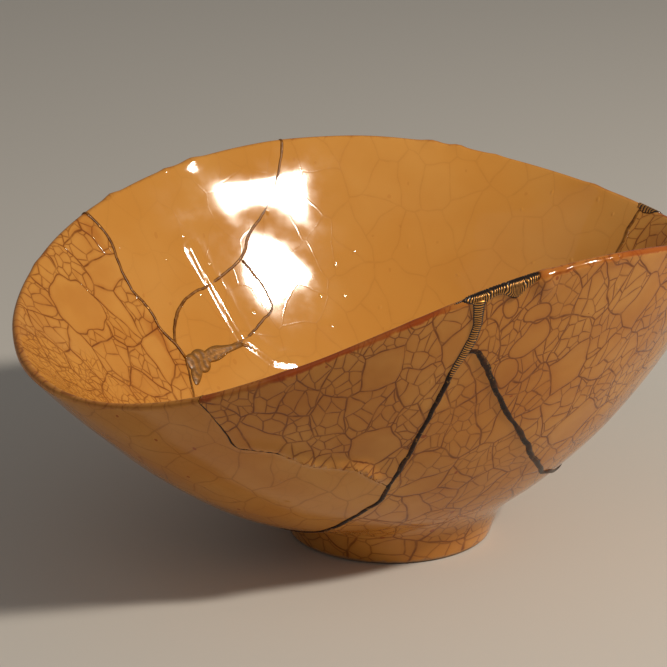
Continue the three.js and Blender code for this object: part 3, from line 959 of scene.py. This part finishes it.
    # The skin of the glaze: soft waves, sunken crackle, and a few pinheads that catch the light.
    skin = n.math('MULTIPLY', n.noise(object_at, 110.0, 1.0).outputs["Fac"], 0.22)
    pinhead = n.add("ShaderNodeTexVoronoi", voronoi_dimensions='2D', feature='F1')
    n.feed(pinhead.inputs["Vector"], n.vector('SCALE', at, 1 / 6.5))
    pinhead.inputs["Scale"].default_value = 1.0
    odds = n.add("ShaderNodeSeparateXYZ")
    n.tree.links.new(pinhead.outputs["Color"], odds.inputs[0])
    dome = n.ramp(pinhead.outputs["Distance"], 0.0, 0.10, 0.5, 0.0)
    dome = n.math('MULTIPLY', dome, n.math('GREATER_THAN', odds.outputs[0], 0.84))
    height = n.math('ADD', n.math('ADD', skin, n.math('MULTIPLY', core, -0.30)), dome)
    height = n.math('ADD', height, n.math('MULTIPLY', n.math('MULTIPLY', bare, grain), 0.8))
    return n.finish(ground, roughness, height, GLAZE_RELIEF, specular=0.3)


def finish_map(n):
    """Reads the map that store_map wrote: how far up a wrinkle, and how far inside the bowl."""
    parts = n.add("ShaderNodeSeparateXYZ")
    n.tree.links.new(n.add("ShaderNodeUVMap", uv_map="finish").outputs[0], parts.inputs[0])
    return parts.outputs[0], parts.outputs[1]


def lacquer():
    """Lacquer of the seams: nearly black outside, brown with gold dust inside."""
    n = Nodes("dark_lacquer")
    _, inner = finish_map(n)
    at = n.add("ShaderNodeTexCoord").outputs["Object"]
    worn = n.noise(at, 480.0, 4.0, 0.6).outputs["Fac"]
    outer_tone = n.mix(n.ramp(worn, 0.42, 0.78), (0.014, 0.005, 0.003, 1), (0.085, 0.028, 0.008, 1))
    inner_tone = n.mix(n.ramp(worn, 0.36, 0.7), (0.15, 0.052, 0.007, 1), (0.31, 0.125, 0.018, 1))
    tone = n.mix(inner, outer_tone, inner_tone)
    dust = n.ramp(n.noise(at, 1500.0, 2.0, 0.5).outputs["Fac"], 0.58, 0.70)
    dust = n.math('MULTIPLY', dust, n.ramp(n.noise(at, 60.0, 2.0).outputs["Fac"], 0.42, 0.6))
    tone = n.mix(n.math('MULTIPLY', dust, 0.6), tone, (0.45, 0.24, 0.07, 1))
    rough = n.ramp(worn, 0.3, 0.7, 0.25, 0.42)
    return n.finish(tone, rough, worn, 0.00008, metallic=n.math('MULTIPLY', dust, 0.6),
                    specular=0.2)


def wrinkled_gold():
    """Gold on the crests of the wrinkles, dark lacquer in the grooves and along the edges; the dark of
    the grooves is partly painted shade of the wrinkles.
    """
    n = Nodes("wrinkled_gold")
    crest, inner = finish_map(n)
    at = n.add("ShaderNodeTexCoord").outputs["Object"]
    speck = n.noise(at, 1300.0, 3.0, 0.6).outputs["Fac"]
    level = n.math('ADD', crest, n.math('MULTIPLY', n.math('SUBTRACT', speck, 0.5), 0.55))
    shine = n.ramp(level, 0.40, 0.72)
    gold = n.mix(n.noise(at, 420.0, 2.0).outputs["Fac"], (0.55, 0.22, 0.045, 1), (0.86, 0.44, 0.12, 1))
    gold = n.mix(inner, gold, (0.36, 0.15, 0.018, 1))
    # Painted shade: the grooves between the wrinkles are coloured near black outside and dark brown
    # inside, partly standing in for the shade that falls in them.
    groove_lacquer_and_shade = n.mix(inner, (0.020, 0.008, 0.003, 1), (0.20, 0.085, 0.012, 1))
    rough = n.ramp(speck, 0.3, 0.7, 0.28, 0.45)
    shine_metal = n.math('MULTIPLY', shine, n.blend(inner, 0.95, 0.25))
    return n.finish(n.mix(shine, groove_lacquer_and_shade, gold), rough, speck, 0.00006, metallic=shine_metal)


def paint(piece, material):
    piece.data.materials.clear()
    piece.data.materials.append(material)


# ---------------------------------------------------------------- make the bowl
bowl = throw_bowl()
shards = break_bowl(bowl)
# Strength of wide lines, small lines and stain, inside and outside, and the special places.
GLAZES = {
    "main_body_shard": dict(
        inside=(0.07, 0.0, 0.06), outside=(1.0, 0.6, 0.55), rim=0.15, shift=0.0,
        whole=((-110.3, 0.442, 1, 8.5, 5.2, 28), (-104, 0.57, 1, 4.9, 3.5, -5),
               (-116, 0.30, 1, 6.0, 4.0, 60))),
    "right_end_shard": dict(
        inside=(0.9, 0.85, 0.8), outside=(1.0, 1.0, 0.75), rim=0.8, shift=40.0,
        whole=((-97.4, 0.815, 1, 4.9, 3.6, -21), (-97.4, 0.895, 1, 3.4, 2.2, -5),
               (-101, 0.73, 1, 3.1, 2.8, 62), (-103.2, 0.945, 1, 2.3, 1.9, 10))),
    "front_shard": dict(
        inside=(0.5, 0.3, 0.4), outside=(1.0, 1.0, 0.7), rim=1.0, shift=90.0),
    "left_end_shard": dict(
        inside=(0.95, 0.85, 0.5), outside=(0.3, 0.1, 0.35), rim=0.3, shift=140.0,
        whole=((140.6, 0.844, 0, 9.0, 6.6, -139),),
        fine=((168, 0.93, 0, 26, 22, 0), (156, 0.66, 0, 16, 12, 0)),
        stained=((127.3, 0.60, 0, 9, 4.5, -52), (126, 0.95, 0, 6, 2.5, -50))),
    "back_left_shard": dict(inside=(0.05, 0.0, 0.05), outside=(0.9, 0.8, 0.55), rim=0.15,
                            shift=190.0),
    "inner_left_shard": dict(inside=(0.1, 0.0, 0.12), outside=(0.9, 0.7, 0.55), shift=240.0),
}
for name, shard in shards.items():
    take(shard)
    bpy.ops.object.shade_smooth_by_angle(angle=math.radians(35))
    paint(shard, glaze("glaze_" + name, **GLAZES[name]))
    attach(shard, "root")
    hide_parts(name)

seam_lines = lay_seams()
paint(seam_lines, lacquer())
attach(seam_lines, "root")
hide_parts("lacquer_seams")

gold = wrinkled_gold()
for piece, node in (
        (gold_trunk(), "gold_front_rim_fill"),
        (chip_fill("front_rim_gold", FRONT_CHIP, front_wrinkles, (-102.4, 1.5, 0.32)),
         "gold_front_rim_fill"),
        (chip_fill("back_rim_gold", BACK_CHIP, back_wrinkles, dark_top=False), "gold_back_rim_fill"),
        (gold_patch(), "gold_inner_patch")):
    paint(piece, gold)
    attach(piece, "root")
    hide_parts(node)

# ---------------------------------------------------------------- floor, light and camera
deselect_all()
bpy.ops.mesh.primitive_plane_add(size=6, location=(0, 0, -0.0001))
floor = bpy.context.object
floor.name = "floor"
floor_paint = Nodes("pale_floor")
paint(floor, floor_paint.finish((0.62, 0.60, 0.57, 1), 0.7, 0.0, 0.0001))


def soft_light(name, at, aim, size, power, colour):
    bpy.ops.object.light_add(type='AREA', location=at)
    light = bpy.context.object
    light.name = name
    light.data.shape = 'RECTANGLE'
    light.data.size, light.data.size_y = size
    light.data.energy = power
    light.data.color = colour
    light.rotation_euler = (Vector(aim) - Vector(at)).to_track_quat('-Z', 'Y').to_euler()
    return light


AZIMUTH, ELEVATION, DISTANCE = math.radians(-32.6), math.radians(18.5), 0.5768
right = Vector((math.cos(AZIMUTH), math.sin(AZIMUTH), 0))
back = Vector((math.sin(AZIMUTH) * math.cos(ELEVATION), -math.cos(AZIMUTH) * math.cos(ELEVATION),
               math.sin(ELEVATION)))
target = right * -0.0118 + Vector((0, 0, 0.0424)) + MIDDLE_OFFSET * MM
up = back.cross(right)
bpy.ops.object.camera_add(location=target + back * DISTANCE)
camera = bpy.context.object
camera.rotation_euler = Matrix((right, up, back)).transposed().to_euler()
camera.data.sensor_width = 36
camera.data.lens = 36 * 2800 / 667
camera.data.clip_start = 0.01
bpy.context.scene.camera = camera

soft_light("key", (0.373, -0.535, 0.617), (0, 0, 0.04), (0.08, 0.08), 6.2,
           (1.0, 0.90, 0.76))
soft_light("fill", target - right * 0.7 + up * 0.75 + back * 0.9, (0, 0, 0.04), (1.1, 1.1), 1.1,
           (1.0, 0.95, 0.88))
world = bpy.data.worlds.new("studio")
world.use_nodes = True
world.node_tree.nodes["Background"].inputs[0].default_value = (1.0, 0.96, 0.90, 1)
world.node_tree.nodes["Background"].inputs[1].default_value = 0.17
bpy.context.scene.world = world
bpy.context.scene.view_settings.view_transform = 'Standard'
